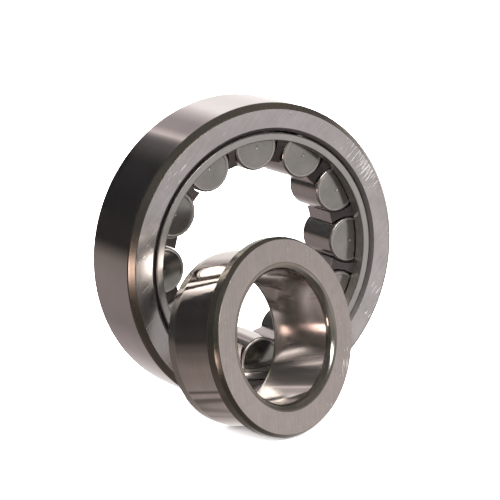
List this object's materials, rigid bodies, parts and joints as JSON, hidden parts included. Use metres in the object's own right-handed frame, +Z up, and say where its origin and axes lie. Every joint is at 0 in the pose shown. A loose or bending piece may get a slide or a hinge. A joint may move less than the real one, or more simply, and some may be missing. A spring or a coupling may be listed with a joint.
{
  "type": "cylindrical roller bearing",
  "caption": "Single-row cylindrical roller bearing taken apart: double-ribbed outer ring with caged rollers, and a loose inner ring with one flange.",
  "frame": {"origin": "middle of the footprint of both halves, on the surface they stand on", "axes": "+Y along the outer ring's axis, away from the loose inner ring; +Z up; +X to the right, seen from the open front"},
  "size_m": [0.072, 0.0466, 0.072],
  "materials": {
    "outer_ring_steel": "ground bearing steel, polished outside and raceway",
    "inner_ring_steel": "ground bearing steel, polished bore and raceway",
    "cage_steel": "pressed steel sheet, satin",
    "roller_steel": "ground bearing steel, satin ends and polished sides"
  },
  "bodies": {
    "outer_ring": {"outer_ring": "outer_ring_steel"},
    "inner_ring": {"inner_ring": "inner_ring_steel"},
    "cage": {"cage": "cage_steel"},
    "roller_01": {"roller_01": "roller_steel"},
    "roller_02": {"roller_02": "roller_steel"},
    "roller_03": {"roller_03": "roller_steel"},
    "roller_04": {"roller_04": "roller_steel"},
    "roller_05": {"roller_05": "roller_steel"},
    "roller_06": {"roller_06": "roller_steel"},
    "roller_07": {"roller_07": "roller_steel"},
    "roller_08": {"roller_08": "roller_steel"},
    "roller_09": {"roller_09": "roller_steel"},
    "roller_10": {"roller_10": "roller_steel"},
    "roller_11": {"roller_11": "roller_steel"},
    "roller_12": {"roller_12": "roller_steel"}
  },
  "joints": [
    {"name": "cage_spin", "type": "hinge", "parent": "outer_ring", "child": "cage", "pos_m": [0, 0.01381, 0.036], "axis": [0, 1, 0], "continuous": true},
    {"name": "inner_ring_spin", "type": "hinge", "parent": "outer_ring", "child": "inner_ring", "pos_m": [-0.01, -0.00719, 0.02084], "axis": [-0.264, 0.9454, -0.191], "continuous": true},
    {"name": "roller_01_spin", "type": "hinge", "parent": "cage", "child": "roller_01", "pos_m": [-0.00076, 0.01381, 0.06149], "axis": [0, 1, 0], "continuous": true},
    {"name": "roller_02_spin", "type": "hinge", "parent": "cage", "child": "roller_02", "pos_m": [0.01209, 0.01381, 0.05845], "axis": [0, 1, 0], "continuous": true},
    {"name": "roller_03_spin", "type": "hinge", "parent": "cage", "child": "roller_03", "pos_m": [0.0217, 0.01381, 0.0494], "axis": [0, 1, 0], "continuous": true},
    {"name": "roller_04_spin", "type": "hinge", "parent": "cage", "child": "roller_04", "pos_m": [0.02549, 0.01381, 0.03676], "axis": [0, 1, 0], "continuous": true},
    {"name": "roller_05_spin", "type": "hinge", "parent": "cage", "child": "roller_05", "pos_m": [0.02245, 0.01381, 0.02391], "axis": [0, 1, 0], "continuous": true},
    {"name": "roller_06_spin", "type": "hinge", "parent": "cage", "child": "roller_06", "pos_m": [0.0134, 0.01381, 0.0143], "axis": [0, 1, 0], "continuous": true},
    {"name": "roller_07_spin", "type": "hinge", "parent": "cage", "child": "roller_07", "pos_m": [0.00076, 0.01381, 0.01051], "axis": [0, 1, 0], "continuous": true},
    {"name": "roller_08_spin", "type": "hinge", "parent": "cage", "child": "roller_08", "pos_m": [-0.01209, 0.01381, 0.01355], "axis": [0, 1, 0], "continuous": true},
    {"name": "roller_09_spin", "type": "hinge", "parent": "cage", "child": "roller_09", "pos_m": [-0.0217, 0.01381, 0.0226], "axis": [0, 1, 0], "continuous": true},
    {"name": "roller_10_spin", "type": "hinge", "parent": "cage", "child": "roller_10", "pos_m": [-0.02549, 0.01381, 0.03524], "axis": [0, 1, 0], "continuous": true},
    {"name": "roller_11_spin", "type": "hinge", "parent": "cage", "child": "roller_11", "pos_m": [-0.02245, 0.01381, 0.04809], "axis": [0, 1, 0], "continuous": true},
    {"name": "roller_12_spin", "type": "hinge", "parent": "cage", "child": "roller_12", "pos_m": [-0.0134, 0.01381, 0.0577], "axis": [0, 1, 0], "continuous": true}
  ],
  "couplings": [
    {"joint": "roller_01_spin", "follows": "cage_spin", "ratio": -5.6364},
    {"joint": "roller_02_spin", "follows": "cage_spin", "ratio": -5.6364},
    {"joint": "roller_03_spin", "follows": "cage_spin", "ratio": -5.6364},
    {"joint": "roller_04_spin", "follows": "cage_spin", "ratio": -5.6364},
    {"joint": "roller_05_spin", "follows": "cage_spin", "ratio": -5.6364},
    {"joint": "roller_06_spin", "follows": "cage_spin", "ratio": -5.6364},
    {"joint": "roller_07_spin", "follows": "cage_spin", "ratio": -5.6364},
    {"joint": "roller_08_spin", "follows": "cage_spin", "ratio": -5.6364},
    {"joint": "roller_09_spin", "follows": "cage_spin", "ratio": -5.6364},
    {"joint": "roller_10_spin", "follows": "cage_spin", "ratio": -5.6364},
    {"joint": "roller_11_spin", "follows": "cage_spin", "ratio": -5.6364},
    {"joint": "roller_12_spin", "follows": "cage_spin", "ratio": -5.6364}
  ]
}
